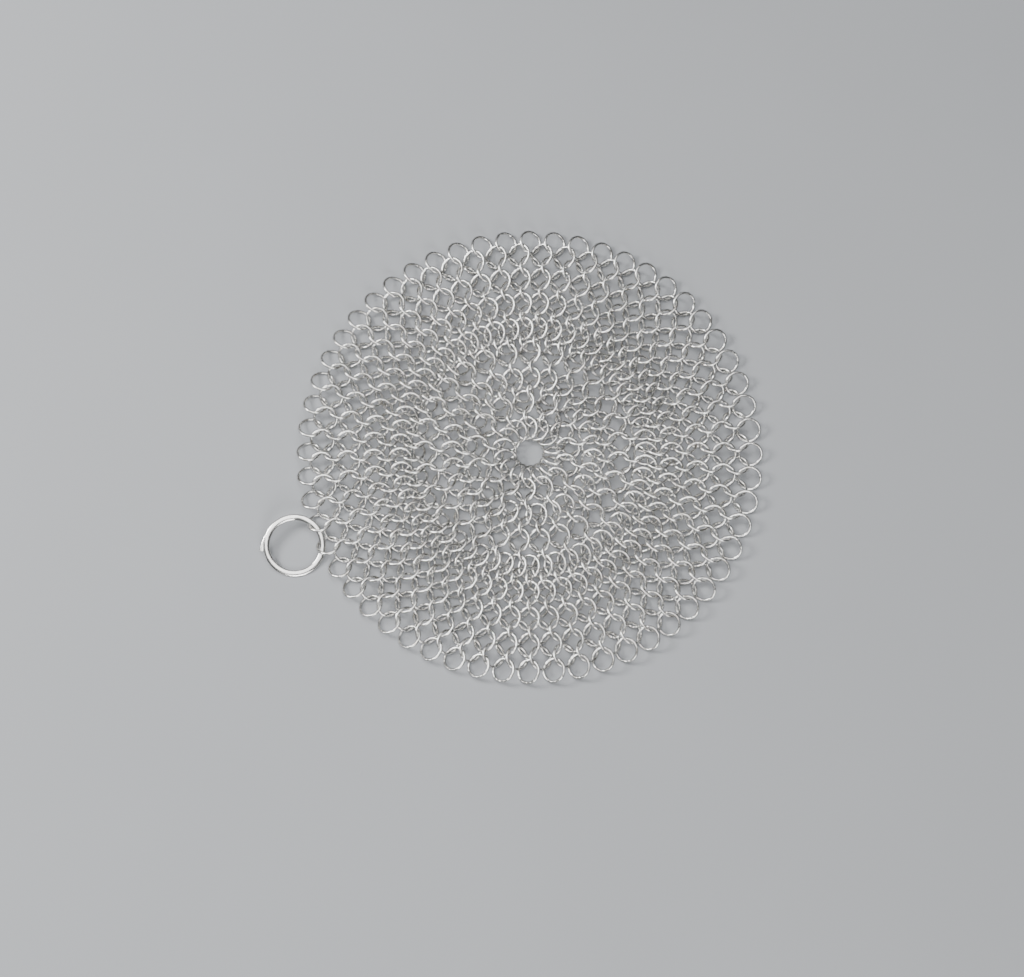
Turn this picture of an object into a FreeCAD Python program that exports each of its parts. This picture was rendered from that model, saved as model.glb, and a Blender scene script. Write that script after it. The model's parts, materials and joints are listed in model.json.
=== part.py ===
import FreeCAD, Part
import math
import os

# Round chainmail pot scrubber: welded wire rings in sixteen concentric rows,
# each ring linked to two rings of the row inside it and two of the row outside,
# with a split ring through two neighbouring rim rings to hang it by.
# Origin: middle of the disc on the surface it lies on. +Z is up, the hanger
# points to -X. Lengths are in millimetres.

SIZES = (
    ("ring_bore", "7.6", "free diameter inside one welded ring"),
    ("wire_dia", "0.9", "diameter of the ring wire"),
    ("inner_gap", "0.2", "gap between every second row of the two inner fields"),
    ("outer_gap", "0.3", "gap between every second row of the outer field"),
    ("spread", "0.5", "extra step out of the row before each doubling"),
    ("band_width", "2.3", "width of the split ring's wire"),
    ("band_thick", "0.9", "thickness of the split ring's wire"),
    ("hanger_outer", "23.0", "outer diameter of the split ring"),
    ("turn_gap", "0.1", "gap between the overlapping turns of the split ring"),
    ("tail_length", "9.3", "length of the sprung end of the lower turn"),
    ("tail_radius", "18.0", "bend radius of the sprung end"),
    ("link_gap", "0.1", "gap between the split ring and the row inside the rim"),
    ("link_lift", "0.1", "height of the two link rings above the surface"),
    ("band_lift", "0.3", "height of the split ring's wire above the middle of its links"),
    ("rest_gap", "0.03", "gap under the split ring on a flat surface"),
)

# Ring counts of the three fields, doubled from field to field, and their rows.
CORE_COUNT = 14
FIELD_ROWS = (3, 4, 9)

# The disc folds in straight strips. The core row's radius, half the width of the
# middle strip and the width of the others are shares of the step between rows.
STRIPS_PER_SIDE = 12
CORE_SHARE = 2.0
MIDDLE_SHARE = 1.1
STRIP_SHARE = 1.35

# Slope of a ring along its row, and how much steeper the added rings of each
# doubling row stand.
LEAN_SHARE = 0.55
FIRST_ADDED_SHARE = 1.2
SECOND_ADDED_SHARE = 1.1
# The two link rings stand steeper too, with their outer edge raised.
LINK_LEAN_SHARE = 0.68
LINK_RAISE_SHARE = 0.1
# Rows over which the edge of the disc comes down to the surface.
DROP_ROWS = 4

# Split ring angles in degrees: its sideways roll, and places counted from +X
# about its own middle.
ROLL_ANGLE = 13.5
TAIL_ANGLE = 120.0
LOWER_END_ANGLE = 72.0
UPPER_START_ANGLE = 39.0
UPPER_END_ANGLE = 76.0
# Arcs that the upper turn is drawn in.
UPPER_ARCS = 4

doc = FreeCAD.newDocument("PotScrubber")
sheet = doc.addObject("Spreadsheet::Sheet", "Sizes")
for number, (alias, value, note) in enumerate(SIZES, start=1):
    sheet.set("A%d" % number, note)
    sheet.set("B%d" % number, value)
    sheet.setAlias("B%d" % number, alias)
doc.recompute()


def size(alias):
    return float(sheet.get(alias))


ring_outer = size("ring_bore") + 2 * size("wire_dia")
row_step = (ring_outer + size("outer_gap")) / 2
ring_radius = (size("ring_bore") + size("wire_dia")) / 2


def height_for(lean):
    """Height of a leaning ring's middle when its low side touches the surface."""
    return size("wire_dia") / 2 + ring_radius * lean / math.hypot(1, lean)


def rows():
    """Radius, count, phase, slope sign and place in its field of each row."""
    table = []
    radius = ring_outer
    count = CORE_COUNT
    phase = 0.0
    for field, number in enumerate(FIELD_ROWS):
        outermost = field == len(FIELD_ROWS) - 1
        gap = size("outer_gap") if outermost else size("inner_gap")
        for place in range(number):
            doubled = place == 0 and field > 0
            if table:
                radius += (ring_outer + gap) / 2
                phase = phase * 2 if doubled else phase + 0.5
            if doubled:
                count *= 2
            spread = size("spread") if place == number - 1 and not outermost else 0
            sign = -1 if len(table) % 2 == 0 else 1
            table.append((radius + spread, count, phase, sign, field if doubled else 0))
    return table


ROWS = rows()
RIM = len(ROWS) - 1
RIM_COUNT = ROWS[RIM][1]
RIM_RADIUS = ROWS[RIM][0]
ADDED_SHARES = (1.0, FIRST_ADDED_SHARE, SECOND_ADDED_SHARE)
HIGH = height_for(LEAN_SHARE * max(ADDED_SHARES))
LOW = height_for(LEAN_SHARE)
LINK_HEIGHT = height_for(math.hypot(LINK_LEAN_SHARE, LINK_RAISE_SHARE)) + size("link_lift")
UP = FreeCAD.Vector(0, 0, 1)


def row_height(row):
    """The rows lie level, and the last few come down so that the rim rests too."""
    down = max(0, row - (RIM - DROP_ROWS)) / DROP_ROWS
    return HIGH + (LOW - HIGH) * down


def strip_of(row, turn):
    """Number of the folding strip of a ring, 0 in the middle and negative in front."""
    aside_share = (row + CORE_SHARE) * math.sin(turn)
    beyond_share = abs(aside_share) - MIDDLE_SHARE
    if beyond_share < 0:
        return 0
    number = min(STRIPS_PER_SIDE, 1 + int(beyond_share / STRIP_SHARE))
    return number if aside_share > 0 else -number


def strip_name(strip):
    if strip == 0:
        return "middle_strip"
    return "%s_strip_%02d" % ("back" if strip > 0 else "front", abs(strip))


def add_ring(name, place):
    ring = doc.addObject("Part::Torus", name)
    ring.setExpression("Radius1", "(Sizes.ring_bore + Sizes.wire_dia) / 2")
    ring.setExpression("Radius2", "Sizes.wire_dia / 2")
    ring.Placement = place
    return ring


def holds_hanger(row, turn):
    """The split ring runs through the two rim rings either side of the -X axis."""
    off_axis = math.pi - abs(math.remainder(turn, 2 * math.pi))
    return row == RIM and off_axis < 2 * math.pi / RIM_COUNT


def node_name(row, strip):
    """Neighbouring rows lean opposite ways. The core row has nodes of its own."""
    kind = "right_leaning" if row % 2 else "left_leaning"
    if row == 0:
        kind = "core"
    return "%s_%s_rings" % (strip_name(strip), kind)


# Every ring, sorted into the node that it belongs to.
nodes = {}
for row, (radius, count, phase, sign, doubling) in enumerate(ROWS):
    for number in range(count):
        turn = 2 * math.pi * (number + phase) / count - math.pi / RIM_COUNT
        outward = FreeCAD.Vector(math.cos(turn), math.sin(turn), 0)
        along = FreeCAD.Vector(-math.sin(turn), math.cos(turn), 0)
        lean = LEAN_SHARE
        raised = 0
        height = row_height(row)
        if doubling and number % 2:
            lean *= ADDED_SHARES[doubling]
        if holds_hanger(row, turn):
            lean = LINK_LEAN_SHARE
            raised = LINK_RAISE_SHARE
            height = LINK_HEIGHT
        middle = outward * radius + UP * height
        normal = UP - along * (sign * lean) - outward * raised
        place = FreeCAD.Placement(middle, FreeCAD.Rotation(UP, normal))
        ring = add_ring("Ring_%02d_%02d" % (row, number), place)
        node = node_name(row, strip_of(row, turn))
        if holds_hanger(row, turn):
            node = "hanger_link_rings"
        nodes.setdefault(node, []).append(ring)

pieces = []
for node in sorted(nodes):
    group = doc.addObject("Part::Compound", node)
    group.Label = node
    group.Links = nodes[node]
    pieces.append(group)

# Split ring: one flattened wire. From its sprung lower end, on a wider bend, it
# runs round under the upper turn, climbs, and goes once round above it.
band_radius = (size("hanger_outer") - size("band_width")) / 2
turn_drop = size("band_thick") + size("turn_gap")
tail_radius = size("tail_radius")
tail_end_angle = TAIL_ANGLE + math.degrees(size("tail_length") / tail_radius)


def on_round(radius, angle, level):
    turn = math.radians(angle)
    return FreeCAD.Vector(radius * math.cos(turn), radius * math.sin(turn), level)


def on_band(angle, level):
    return on_round(band_radius, angle, level)


def on_tail(angle):
    """Point of the sprung end, whose bend touches the lower turn at TAIL_ANGLE."""
    middle = on_round(band_radius - tail_radius, TAIL_ANGLE, -turn_drop)
    return middle + on_round(tail_radius, angle, 0)


def clockwise(angle):
    turn = math.radians(angle)
    return FreeCAD.Vector(math.sin(turn), -math.cos(turn), 0)


def band_arc(start, end, level):
    middle = on_band((start + end) / 2, level)
    return Part.Arc(on_band(start, level), middle, on_band(end, level)).toShape()


def tangent_arc(start, corner, end):
    """Arc from start to end that touches both legs of the equal-legged corner."""
    chord = (start + end) / 2
    rise = corner - chord
    half_turn = math.asin(rise.Length / (corner - start).Length)
    sagitta = (end - start).Length / 2 * math.tan(half_turn / 2)
    return Part.Arc(start, chord + rise * (sagitta / rise.Length), end).toShape()


def climb(start, start_way, end, end_way):
    """Two arcs that leave and arrive along the given directions."""
    span = end - start
    ways = start_way + end_way
    bend = 2 * (1 - start_way.dot(end_way))
    leg = (math.sqrt(span.dot(ways) ** 2 + bend * span.dot(span)) - span.dot(ways)) / bend
    first = start + start_way * leg
    second = end - end_way * leg
    meet = (first + second) / 2
    return [tangent_arc(start, first, meet), tangent_arc(meet, second, end)]


tail_tip = on_tail(tail_end_angle)
tail_bend = on_tail((TAIL_ANGLE + tail_end_angle) / 2)
edges = [Part.Arc(tail_tip, tail_bend, on_tail(TAIL_ANGLE)).toShape()]
edges.append(band_arc(TAIL_ANGLE, LOWER_END_ANGLE, -turn_drop))
edges += climb(
    on_band(LOWER_END_ANGLE, -turn_drop),
    clockwise(LOWER_END_ANGLE),
    on_band(UPPER_START_ANGLE, 0),
    clockwise(UPPER_START_ANGLE),
)
upper_step = (UPPER_END_ANGLE - 360 - UPPER_START_ANGLE) / UPPER_ARCS
for number in range(UPPER_ARCS):
    start = UPPER_START_ANGLE + number * upper_step
    edges.append(band_arc(start, start + upper_step, 0))

path = doc.addObject("Part::Feature", "split_ring_path")
path.Shape = Part.Wire(edges)
profile = doc.addObject("Part::Ellipse", "split_ring_profile")
profile.setExpression("MajorRadius", "Sizes.band_width / 2")
profile.setExpression("MinorRadius", "Sizes.band_thick / 2")
outward = on_band(tail_end_angle, 0)
along = clockwise(tail_end_angle)
profile.Placement = FreeCAD.Placement(
    tail_tip, FreeCAD.Rotation(outward, along.cross(outward), along, "ZXY")
)
split_ring = doc.addObject("Part::Sweep", "split_ring")
split_ring.Label = "split_ring"
split_ring.Sections = [profile]
split_ring.Spine = (path, ["Edge%d" % (number + 1) for number in range(len(edges))])
split_ring.Solid = True
split_ring.Frenet = False
pieces.append(split_ring)

# The split ring turns about the line through its band inside the two link rings.
# It is rolled to suit their lean, and its low side lies on the surface.
link_y = RIM_RADIUS * math.sin(math.pi / RIM_COUNT)
row_end = ROWS[RIM - 1][0] + ring_outer / 2
hinge_reach = math.sqrt(band_radius ** 2 - link_y ** 2)
hinge_x = row_end + size("link_gap") + size("hanger_outer") / 2 - hinge_reach
hinge = FreeCAD.Vector(-hinge_x, 0, LINK_HEIGHT + size("band_lift"))
roll = FreeCAD.Rotation(FreeCAD.Vector(1, 0, 0), ROLL_ANGLE)


def lie_at(tilt):
    """Place of the split ring when its far side is tilted up by so many degrees."""
    turned = roll.multiply(FreeCAD.Rotation(FreeCAD.Vector(0, 1, 0), tilt))
    return FreeCAD.Placement(hinge - turned.multVec(FreeCAD.Vector(hinge_reach, 0, 0)), turned)


def lowest_at(tilt):
    """Lowest point of the upper turn of the split ring at that tilt."""
    lie = lie_at(tilt)
    level = lie.Rotation.multVec(UP).z
    steep = math.sqrt(1 - level ** 2)
    edge = math.hypot(size("band_width") / 2 * steep, size("band_thick") / 2 * level)
    return lie.Base.z - band_radius * steep - edge


low_tilt = -ROLL_ANGLE
high_tilt = ROLL_ANGLE
for halving in range(40):
    tilt = (low_tilt + high_tilt) / 2
    if lowest_at(tilt) < size("rest_gap"):
        low_tilt = tilt
    else:
        high_tilt = tilt
split_ring.Placement = lie_at(high_tilt)

doc.recompute()
for item in doc.Objects:
    for state in item.State:
        if state in ("Invalid", "Error"):
            raise RuntimeError("%s failed to build" % item.Label)
for piece in pieces:
    if piece.Shape.isNull() or not piece.Shape.isValid():
        raise RuntimeError("%s has no valid shape" % piece.Label)

os.makedirs("parts", exist_ok=True)
for piece in pieces:
    piece.Shape.exportStep("parts/%s.step" % piece.Label)
box = split_ring.Shape.BoundBox
print("rings %d in %d nodes" % (sum(len(group) for group in nodes.values()), len(pieces)))
print("row radii", [round(row[0], 2) for row in ROWS])
print("row heights", round(HIGH, 4), round(LOW, 4))
print("fold lines from", round(MIDDLE_SHARE * row_step, 4), "every", round(STRIP_SHARE * row_step, 4))
print("hinge", [round(value, 4) for value in hinge], "tilt", round(high_tilt, 4))
print("hinge axis", [round(value, 5) for value in roll.multVec(FreeCAD.Vector(0, 1, 0))])
print("split ring middle", [round(value, 3) for value in split_ring.Placement.Base])
print("split ring from", round(box.XMin, 3), "lowest", round(box.ZMin, 4))
print("split ring volume", round(split_ring.Shape.Volume, 3), "path", round(path.Shape.Length, 3))
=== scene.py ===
import json
import math
import random

import bmesh
import bpy
import numpy as np
from mathutils import Matrix, Vector


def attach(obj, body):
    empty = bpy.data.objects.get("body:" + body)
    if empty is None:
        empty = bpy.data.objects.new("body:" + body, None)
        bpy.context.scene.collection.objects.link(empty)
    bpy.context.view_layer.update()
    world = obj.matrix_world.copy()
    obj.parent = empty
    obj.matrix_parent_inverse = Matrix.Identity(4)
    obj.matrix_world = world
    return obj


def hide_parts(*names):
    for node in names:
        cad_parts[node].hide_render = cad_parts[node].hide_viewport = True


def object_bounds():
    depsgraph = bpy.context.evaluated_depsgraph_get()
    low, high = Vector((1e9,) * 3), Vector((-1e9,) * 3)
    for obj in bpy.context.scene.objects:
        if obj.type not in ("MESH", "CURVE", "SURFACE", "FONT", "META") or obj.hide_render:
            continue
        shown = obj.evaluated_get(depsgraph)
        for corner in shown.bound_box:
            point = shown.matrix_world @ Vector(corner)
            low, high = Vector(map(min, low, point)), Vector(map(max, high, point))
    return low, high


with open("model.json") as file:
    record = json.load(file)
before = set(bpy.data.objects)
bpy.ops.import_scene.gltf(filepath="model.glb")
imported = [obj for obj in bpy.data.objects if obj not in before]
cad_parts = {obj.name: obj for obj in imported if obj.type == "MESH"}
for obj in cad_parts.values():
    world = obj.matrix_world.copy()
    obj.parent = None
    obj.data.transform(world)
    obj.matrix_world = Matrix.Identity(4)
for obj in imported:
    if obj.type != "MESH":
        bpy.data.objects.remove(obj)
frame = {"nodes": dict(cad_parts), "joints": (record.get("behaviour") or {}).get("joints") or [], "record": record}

cad_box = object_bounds()
MM = 0.001
record = frame["record"]
body_of_node = {}
for body, nodes in record["behaviour"]["bodies"].items():
    body_of_node.update({node: body for node in nodes})

# Photograph's frame in pixels, and the middle of the disc in it.
IMAGE_WIDTH = 1024
IMAGE_HEIGHT = 977
DISC_MIDDLE_PX = (529.5, 454.5)
DISC_WIDTH_PX = 465.0
# Where the camera stands: degrees from +X and above the floor, metres from the disc.
CAMERA_AZIMUTH = -112.2
CAMERA_ELEVATION = 77.0
CAMERA_DISTANCE = 0.95
CAMERA_CLIP_START = 0.01

# Welded rings: sides of the wire and stretches round it, how far its corners
# stand out so that it looks as thick as round wire, the weld's swelling, and
# how far a ring may sit off its place.
WIRE_SIDES = 5
RING_STRETCHES = 16
WIRE_CORNER_SHARE = 1.18
WELD_SWELL_SHARE = 1.1
WELD_NECK_SHARE = 0.97
RING_TILT = math.radians(1.0)
RING_SHIFT = 0.03 * MM

# Split ring: the section of its flattened wire, and its bends, as on the real
# one: angles in degrees from +X about its own middle.
BAND_WIDTH = 2.3 * MM
BAND_THICK = 0.9 * MM
BAND_SIDES = 20
HANGER_OUTER = 23.0 * MM
TURN_GAP = 0.1 * MM
TAIL_LENGTH = 9.3 * MM
TAIL_RADIUS = 18.0 * MM
TAIL_ANGLE = 120.0
LOWER_END_ANGLE = 72.0
UPPER_START_ANGLE = 39.0
UPPER_END_ANGLE = 76.0
TAIL_STEPS = 8
LOWER_STEPS = 12
CLIMB_STEPS = 11
UPPER_STEPS = 84
# Edges sharper than this, at the wire's cut ends, aren't shaded smooth.
SMOOTH_ANGLE = math.radians(40)

# Points of a mesh that are closer than this are one point.
MERGE_DISTANCE = 0.001 * MM

FLOOR_SIZE = 6.0
WORLD_STRENGTH = 0.35


def linear(hex_colour):
    """sRGB hex to linear RGBA."""
    parts = [int(hex_colour[i:i + 2], 16) / 255 for i in (1, 3, 5)]
    return [p / 12.92 if p <= 0.04045 else ((p + 0.055) / 1.055) ** 2.4 for p in parts] + [1.0]


def add(tree, kind, settings=None, links=None):
    """Adds a node, sets its properties and sockets, and links sockets from others."""
    node = tree.nodes.new(kind)
    for name, value in (settings or {}).items():
        if isinstance(name, str) and hasattr(node, name):
            setattr(node, name, value)
        else:
            node.inputs[name].default_value = value
    for name, source in (links or {}).items():
        tree.links.new(source, node.inputs[name])
    return node


def new_material(name):
    """A new material, its emptied node tree and a node of texture coordinates in it."""
    material = bpy.data.materials.new(name)
    material.use_nodes = True
    tree = material.node_tree
    tree.nodes.clear()
    return material, tree, add(tree, "ShaderNodeTexCoord")


def noise(tree, place, size_mm, detail):
    """Noise over the piece, with features about so many millimetres across."""
    node = add(tree, "ShaderNodeTexNoise", {"Scale": 1 / (size_mm * MM), "Detail": detail},
               {"Vector": place.outputs["Object"]})
    return node.outputs["Fac"]


def two_tone(tree, value, low, high):
    """Colour between two stops over a value, each a position and an sRGB hex."""
    node = add(tree, "ShaderNodeValToRGB", {}, {"Fac": value})
    for element, (position, hex_colour) in zip(node.color_ramp.elements, (low, high)):
        element.position = position
        element.color = linear(hex_colour)
    return node.outputs["Color"]


def finish_material(tree, shader):
    output = add(tree, "ShaderNodeOutputMaterial")
    tree.links.new(shader.outputs["BSDF"], output.inputs["Surface"])


def tumbled_stainless_wire():
    """Drawn 304 stainless wire, butt-welded and tumbled bright: a soft mirror with
    small dents, and a straw-grey tint left beside each weld."""
    material, tree, place = new_material("tumbled stainless steel wire")
    steel = two_tone(tree, noise(tree, place, 7.0, 2.0), (0.35, "#D6D5D2"), (0.65, "#EBEAE7"))
    # U runs once round the ring, with the weld where it starts and ends.
    split = add(tree, "ShaderNodeSeparateXYZ", {}, {"Vector": place.outputs["UV"]})
    turn = add(tree, "ShaderNodeMath", {"operation": "PINGPONG", 1: 0.5}, {0: split.outputs["X"]})
    near_weld = add(tree, "ShaderNodeMapRange",
                    {"interpolation_type": "SMOOTHSTEP", "From Min": 0.075, "From Max": 0.015,
                     "To Min": 0.0, "To Max": 0.45},
                    {"Value": turn.outputs[0]})
    tint = add(tree, "ShaderNodeMix", {"data_type": "RGBA"},
               {"Factor": near_weld.outputs["Result"], "A": steel})
    tint.inputs["B"].default_value = linear("#B0AAA0")
    dents = noise(tree, place, 0.6, 3.0)
    roughness = add(tree, "ShaderNodeMapRange", {"To Min": 0.16, "To Max": 0.34},
                    {"Value": dents})
    bump = add(tree, "ShaderNodeBump", {"Strength": 0.25, "Distance": 0.05 * MM},
               {"Height": dents})
    shader = add(tree, "ShaderNodeBsdfPrincipled", {"Metallic": 1.0},
                 {"Base Color": tint.outputs["Result"], "Roughness": roughness.outputs["Result"],
                  "Normal": bump.outputs["Normal"]})
    finish_material(tree, shader)
    return material


def plated_spring_steel():
    """Rolled flat spring steel wire, nickel plated: brighter than the rings, with a
    fine grain and worn spots."""
    material, tree, place = new_material("nickel plated spring steel")
    worn = noise(tree, place, 4.0, 2.0)
    plating = two_tone(tree, worn, (0.3, "#DAD9D6"), (0.7, "#EEEDEA"))
    roughness = add(tree, "ShaderNodeMapRange", {"To Min": 0.14, "To Max": 0.30},
                    {"Value": worn})
    bump = add(tree, "ShaderNodeBump", {"Strength": 0.15, "Distance": 0.03 * MM},
               {"Height": noise(tree, place, 0.25, 2.0)})
    shader = add(tree, "ShaderNodeBsdfPrincipled", {"Metallic": 1.0},
                 {"Base Color": plating, "Roughness": roughness.outputs["Result"],
                  "Normal": bump.outputs["Normal"]})
    finish_material(tree, shader)
    return material


def pale_floor_paint():
    """Matt pale paint with a slight unevenness."""
    material, tree, place = new_material("matt pale floor paint")
    paint = two_tone(tree, noise(tree, place, 120.0, 3.0), (0.0, "#989A9D"), (1.0, "#9EA0A3"))
    shader = add(tree, "ShaderNodeBsdfPrincipled", {"Roughness": 0.7}, {"Base Color": paint})
    finish_material(tree, shader)
    return material


def ring_places(node):
    """Middle, axis, outer radius and wire diameter of each ring in a CAD node."""
    mesh = bmesh.new()
    mesh.from_mesh(frame["nodes"][node].data)
    bmesh.ops.remove_doubles(mesh, verts=mesh.verts, dist=MERGE_DISTANCE)
    waiting = set(mesh.verts)
    places = []
    while waiting:
        island = {waiting.pop()}
        front = list(island)
        while front:
            vert = front.pop()
            fresh = [edge.other_vert(vert) for edge in vert.link_edges]
            fresh = [other for other in fresh if other in waiting]
            waiting.difference_update(fresh)
            island.update(fresh)
            front.extend(fresh)
        points = np.array([vert.co for vert in island])
        middle = (points.max(0) + points.min(0)) / 2
        # The direction in which the points spread least is the ring's axis.
        axis = np.linalg.svd(points - points.mean(0), full_matrices=False)[2][2]
        outer = np.linalg.norm(points - middle, axis=1).max()
        height = (points - middle) @ axis
        upward = Vector(axis * math.copysign(1, axis[2]))
        places.append((Vector(middle), upward, outer, np.ptp(height)))
    mesh.free()
    return sorted(places, key=lambda place: tuple(place[0]))


def select_where(piece, test):
    """In edit mode, selects the vertices whose place passes the test."""
    bpy.ops.mesh.select_all(action="DESELECT")
    bpy.ops.object.mode_set(mode="OBJECT")
    for vert in piece.data.vertices:
        vert.select = test(vert.co)
    bpy.ops.object.mode_set(mode="EDIT")


def model_welded_ring(outer, wire):
    """One ring of round wire, a little necked beside its weld and swollen at it."""
    bpy.ops.object.select_all(action="DESELECT")
    middle_radius = outer - wire / 2
    bpy.ops.mesh.primitive_torus_add(
        major_segments=RING_STRETCHES, minor_segments=WIRE_SIDES,
        major_radius=middle_radius, minor_radius=wire / 2 * WIRE_CORNER_SHARE)
    ring = bpy.context.object
    stretch = 2 * math.pi / RING_STRETCHES
    bpy.ops.object.mode_set(mode="EDIT")
    bpy.ops.mesh.select_mode(type="VERT")
    for step, swell in ((0, WELD_SWELL_SHARE), (1, WELD_NECK_SHARE), (-1, WELD_NECK_SHARE)):
        turn = step * stretch
        select_where(ring, lambda co: abs(math.atan2(co.y, co.x) - turn) < stretch / 4)
        centre = (middle_radius * math.cos(turn), middle_radius * math.sin(turn), 0)
        bpy.ops.transform.resize(value=(swell, swell, swell), center_override=centre)
    bpy.ops.mesh.select_all(action="SELECT")
    bpy.ops.mesh.normals_make_consistent(inside=False)
    bpy.ops.object.mode_set(mode="OBJECT")
    bpy.ops.object.shade_smooth()
    return ring


def ring_place_matrix(middle, axis, chance):
    """A ring's place, with the weld anywhere round it and a slight natural tilt."""
    weld = Matrix.Rotation(chance.uniform(0, 2 * math.pi), 4, "Z")
    lean = Vector((0, 0, 1)).rotation_difference(axis).to_matrix().to_4x4()
    tilt = Matrix.Rotation(chance.uniform(-1, 1) * RING_TILT, 4, "X")
    tilt @= Matrix.Rotation(chance.uniform(-1, 1) * RING_TILT, 4, "Y")
    shift = Vector([chance.uniform(-1, 1) * RING_SHIFT for _ in "XYZ"])
    return Matrix.Translation(middle + shift) @ lean @ tilt @ weld


def lay_rings(node, pattern, material):
    """One piece with a copy of the welded ring in each place of a CAD node."""
    chance = random.Random(node)
    copies = []
    for middle, axis, _, _ in ring_places(node):
        copy = bpy.data.objects.new(node + "_piece", pattern.data.copy())
        copy.data.transform(ring_place_matrix(middle, axis, chance))
        bpy.context.collection.objects.link(copy)
        copies.append(copy)
    bpy.ops.object.select_all(action="DESELECT")
    for copy in copies:
        copy.select_set(True)
    bpy.context.view_layer.objects.active = copies[0]
    if len(copies) > 1:
        bpy.ops.object.join()
    piece = bpy.context.view_layer.objects.active
    piece.name = node + "_welded"
    piece.data.materials.append(material)
    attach(piece, body_of_node[node])
    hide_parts(node)


def outward_at(degrees):
    """Level direction at an angle from +X."""
    turn = math.radians(degrees)
    return Vector((math.cos(turn), math.sin(turn), 0))


def smooth_share(share):
    """Eases a share from 0 to 1, level at both ends."""
    return share * share * (3 - 2 * share)


def hanger_place():
    """The split ring's own frame: middle and axis of its eye, turned to its hinge line."""
    eye = next(mount for mount in record["mounts"] if mount["name"] == "hanging_eye")
    swing = next(joint for joint in frame["joints"] if joint["name"] == "hanger_swing")
    across = Vector(swing["axis"]).normalized()
    up = Vector(eye["axis"]).normalized()
    along = across.cross(up).normalized()
    turned = Matrix((along, across, up)).transposed().to_4x4()
    return Matrix.Translation(Vector(eye["pos_m"])) @ turned


def start_wire(middle, outward):
    """End face of the flattened wire, selected in edit mode, its width along outward."""
    bpy.ops.object.select_all(action="DESELECT")
    bpy.ops.mesh.primitive_circle_add(vertices=BAND_SIDES, radius=0.5, fill_type="NGON")
    wire = bpy.context.object
    bpy.ops.object.mode_set(mode="EDIT")
    bpy.ops.mesh.select_mode(type="VERT")
    bpy.ops.mesh.select_all(action="SELECT")
    bpy.ops.transform.resize(value=(BAND_WIDTH, BAND_THICK, 1))
    bpy.ops.object.mode_set(mode="OBJECT")
    up = Vector((0, 0, 1))
    section = Matrix((outward, up, outward.cross(up))).transposed().to_4x4()
    wire.data.transform(Matrix.Translation(middle) @ section)
    bpy.ops.object.mode_set(mode="EDIT")
    bpy.ops.mesh.select_all(action="SELECT")
    return wire


def turn_wire(degrees, steps, middle=(0, 0, 0)):
    """Carries the selected end of the wire round a middle, the ring's own if not given."""
    bpy.ops.mesh.spin(steps=steps, angle=math.radians(degrees), center=middle, axis=(0, 0, -1))


def model_split_ring(material):
    """Flattened wire with a domed face: sprung end, lower turn, climb, upper turn."""
    radius = (HANGER_OUTER - BAND_WIDTH) / 2
    drop = BAND_THICK + TURN_GAP
    tail_turn = math.degrees(TAIL_LENGTH / TAIL_RADIUS)
    tail_middle = (radius - TAIL_RADIUS) * outward_at(TAIL_ANGLE) - Vector((0, 0, drop))
    outward = outward_at(TAIL_ANGLE + tail_turn)
    ring = start_wire(tail_middle + outward * TAIL_RADIUS, outward)
    turn_wire(-tail_turn, TAIL_STEPS, tail_middle)
    turn_wire(LOWER_END_ANGLE - TAIL_ANGLE, LOWER_STEPS)
    step_angle = (UPPER_START_ANGLE - LOWER_END_ANGLE) / CLIMB_STEPS
    for step in range(CLIMB_STEPS):
        turn_wire(step_angle, 1)
        before = smooth_share(step / CLIMB_STEPS)
        after = smooth_share((step + 1) / CLIMB_STEPS)
        bpy.ops.transform.translate(value=(0, 0, drop * (after - before)))
    turn_wire(UPPER_END_ANGLE - 360 - UPPER_START_ANGLE, UPPER_STEPS)
    bpy.ops.mesh.select_all(action="SELECT")
    bpy.ops.mesh.remove_doubles(threshold=MERGE_DISTANCE)
    bpy.ops.mesh.normals_make_consistent(inside=False)
    bpy.ops.object.mode_set(mode="OBJECT")
    ring.data.transform(hanger_place())
    bpy.ops.object.shade_smooth_by_angle(angle=SMOOTH_ANGLE)
    ring.name = "split_ring_wire"
    ring.data.materials.append(material)
    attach(ring, body_of_node["split_ring"])
    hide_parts("split_ring")


def lay_floor():
    bpy.ops.object.select_all(action="DESELECT")
    bpy.ops.mesh.primitive_plane_add(size=FLOOR_SIZE)
    floor = bpy.context.object
    floor.name = "floor"
    floor.data.materials.append(pale_floor_paint())


def soft_light(name, place, size, watts):
    """Square soft box at a place, turned to the middle of the disc."""
    bpy.ops.object.select_all(action="DESELECT")
    bpy.ops.object.light_add(type="AREA", location=place)
    light = bpy.context.object
    light.name = name
    light.data.size = size
    light.data.energy = watts
    light.rotation_euler = (-Vector(place)).to_track_quat("-Z", "Y").to_euler()


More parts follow.
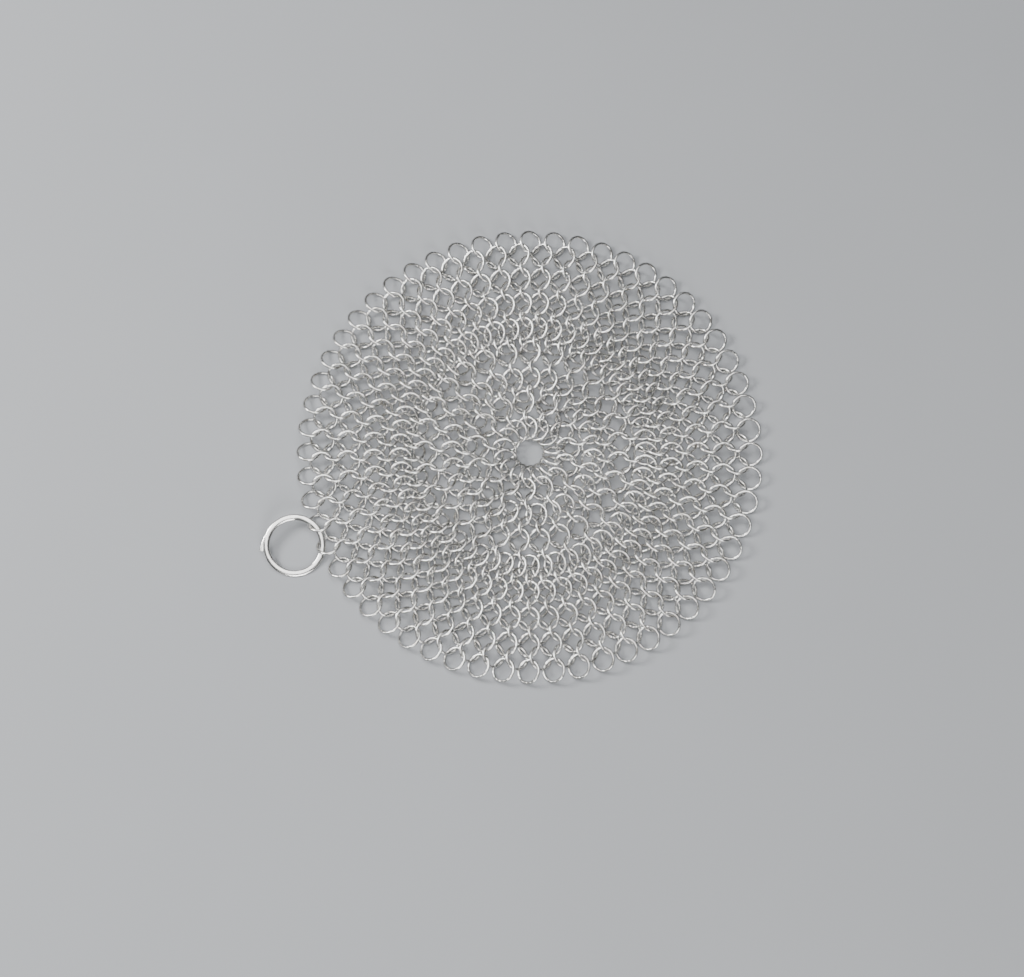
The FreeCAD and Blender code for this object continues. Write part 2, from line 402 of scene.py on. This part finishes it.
def light_studio():
    """Grey light from all round, a large soft box overhead, a key and a weaker fill."""
    world = bpy.data.worlds.new("studio")
    world.use_nodes = True
    background = world.node_tree.nodes["Background"]
    background.inputs["Color"].default_value = linear("#9A9C9F")
    background.inputs["Strength"].default_value = WORLD_STRENGTH
    bpy.context.scene.world = world
    soft_light("overhead_softbox", place=(-0.1, 0.2, 1.4), size=1.3, watts=21)
    soft_light("key_softbox", place=(-0.6, 0.45, 0.6), size=0.3, watts=9)
    soft_light("fill_softbox", place=(-0.25, -0.75, 0.5), size=0.4, watts=5)


def place_camera():
    """Looks down on the disc as in the photograph, with the disc at its place there."""
    elevation = math.radians(CAMERA_ELEVATION)
    disc_width = (cad_box[1] - cad_box[0]).y
    bpy.ops.object.select_all(action="DESELECT")
    bpy.ops.object.camera_add()
    camera = bpy.context.object
    pixel = disc_width / DISC_WIDTH_PX
    camera.data.sensor_fit = "HORIZONTAL"
    camera.data.angle = 2 * math.atan(pixel * IMAGE_WIDTH / 2 / CAMERA_DISTANCE)
    camera.data.clip_start = CAMERA_CLIP_START
    towards = outward_at(CAMERA_AZIMUTH) * math.cos(elevation)
    towards.z = math.sin(elevation)
    turned = towards.to_track_quat("Z", "Y")
    right = turned @ Vector((1, 0, 0))
    up = turned @ Vector((0, 1, 0))
    aside = (IMAGE_WIDTH / 2 - DISC_MIDDLE_PX[0]) * pixel
    above = (DISC_MIDDLE_PX[1] - IMAGE_HEIGHT / 2) * pixel
    camera.rotation_mode = "QUATERNION"
    camera.rotation_quaternion = turned
    camera.location = towards * CAMERA_DISTANCE + right * aside + up * above
    bpy.context.scene.camera = camera


steel_wire = tumbled_stainless_wire()
ring_nodes = [node for node in sorted(body_of_node) if node.endswith("_rings")]
link_outer, link_wire = ring_places("hanger_link_rings")[0][2:]
pattern = model_welded_ring(link_outer, link_wire)
for node in ring_nodes:
    lay_rings(node, pattern, steel_wire)
bpy.data.objects.remove(pattern)
model_split_ring(plated_spring_steel())
lay_floor()
light_studio()
place_camera()
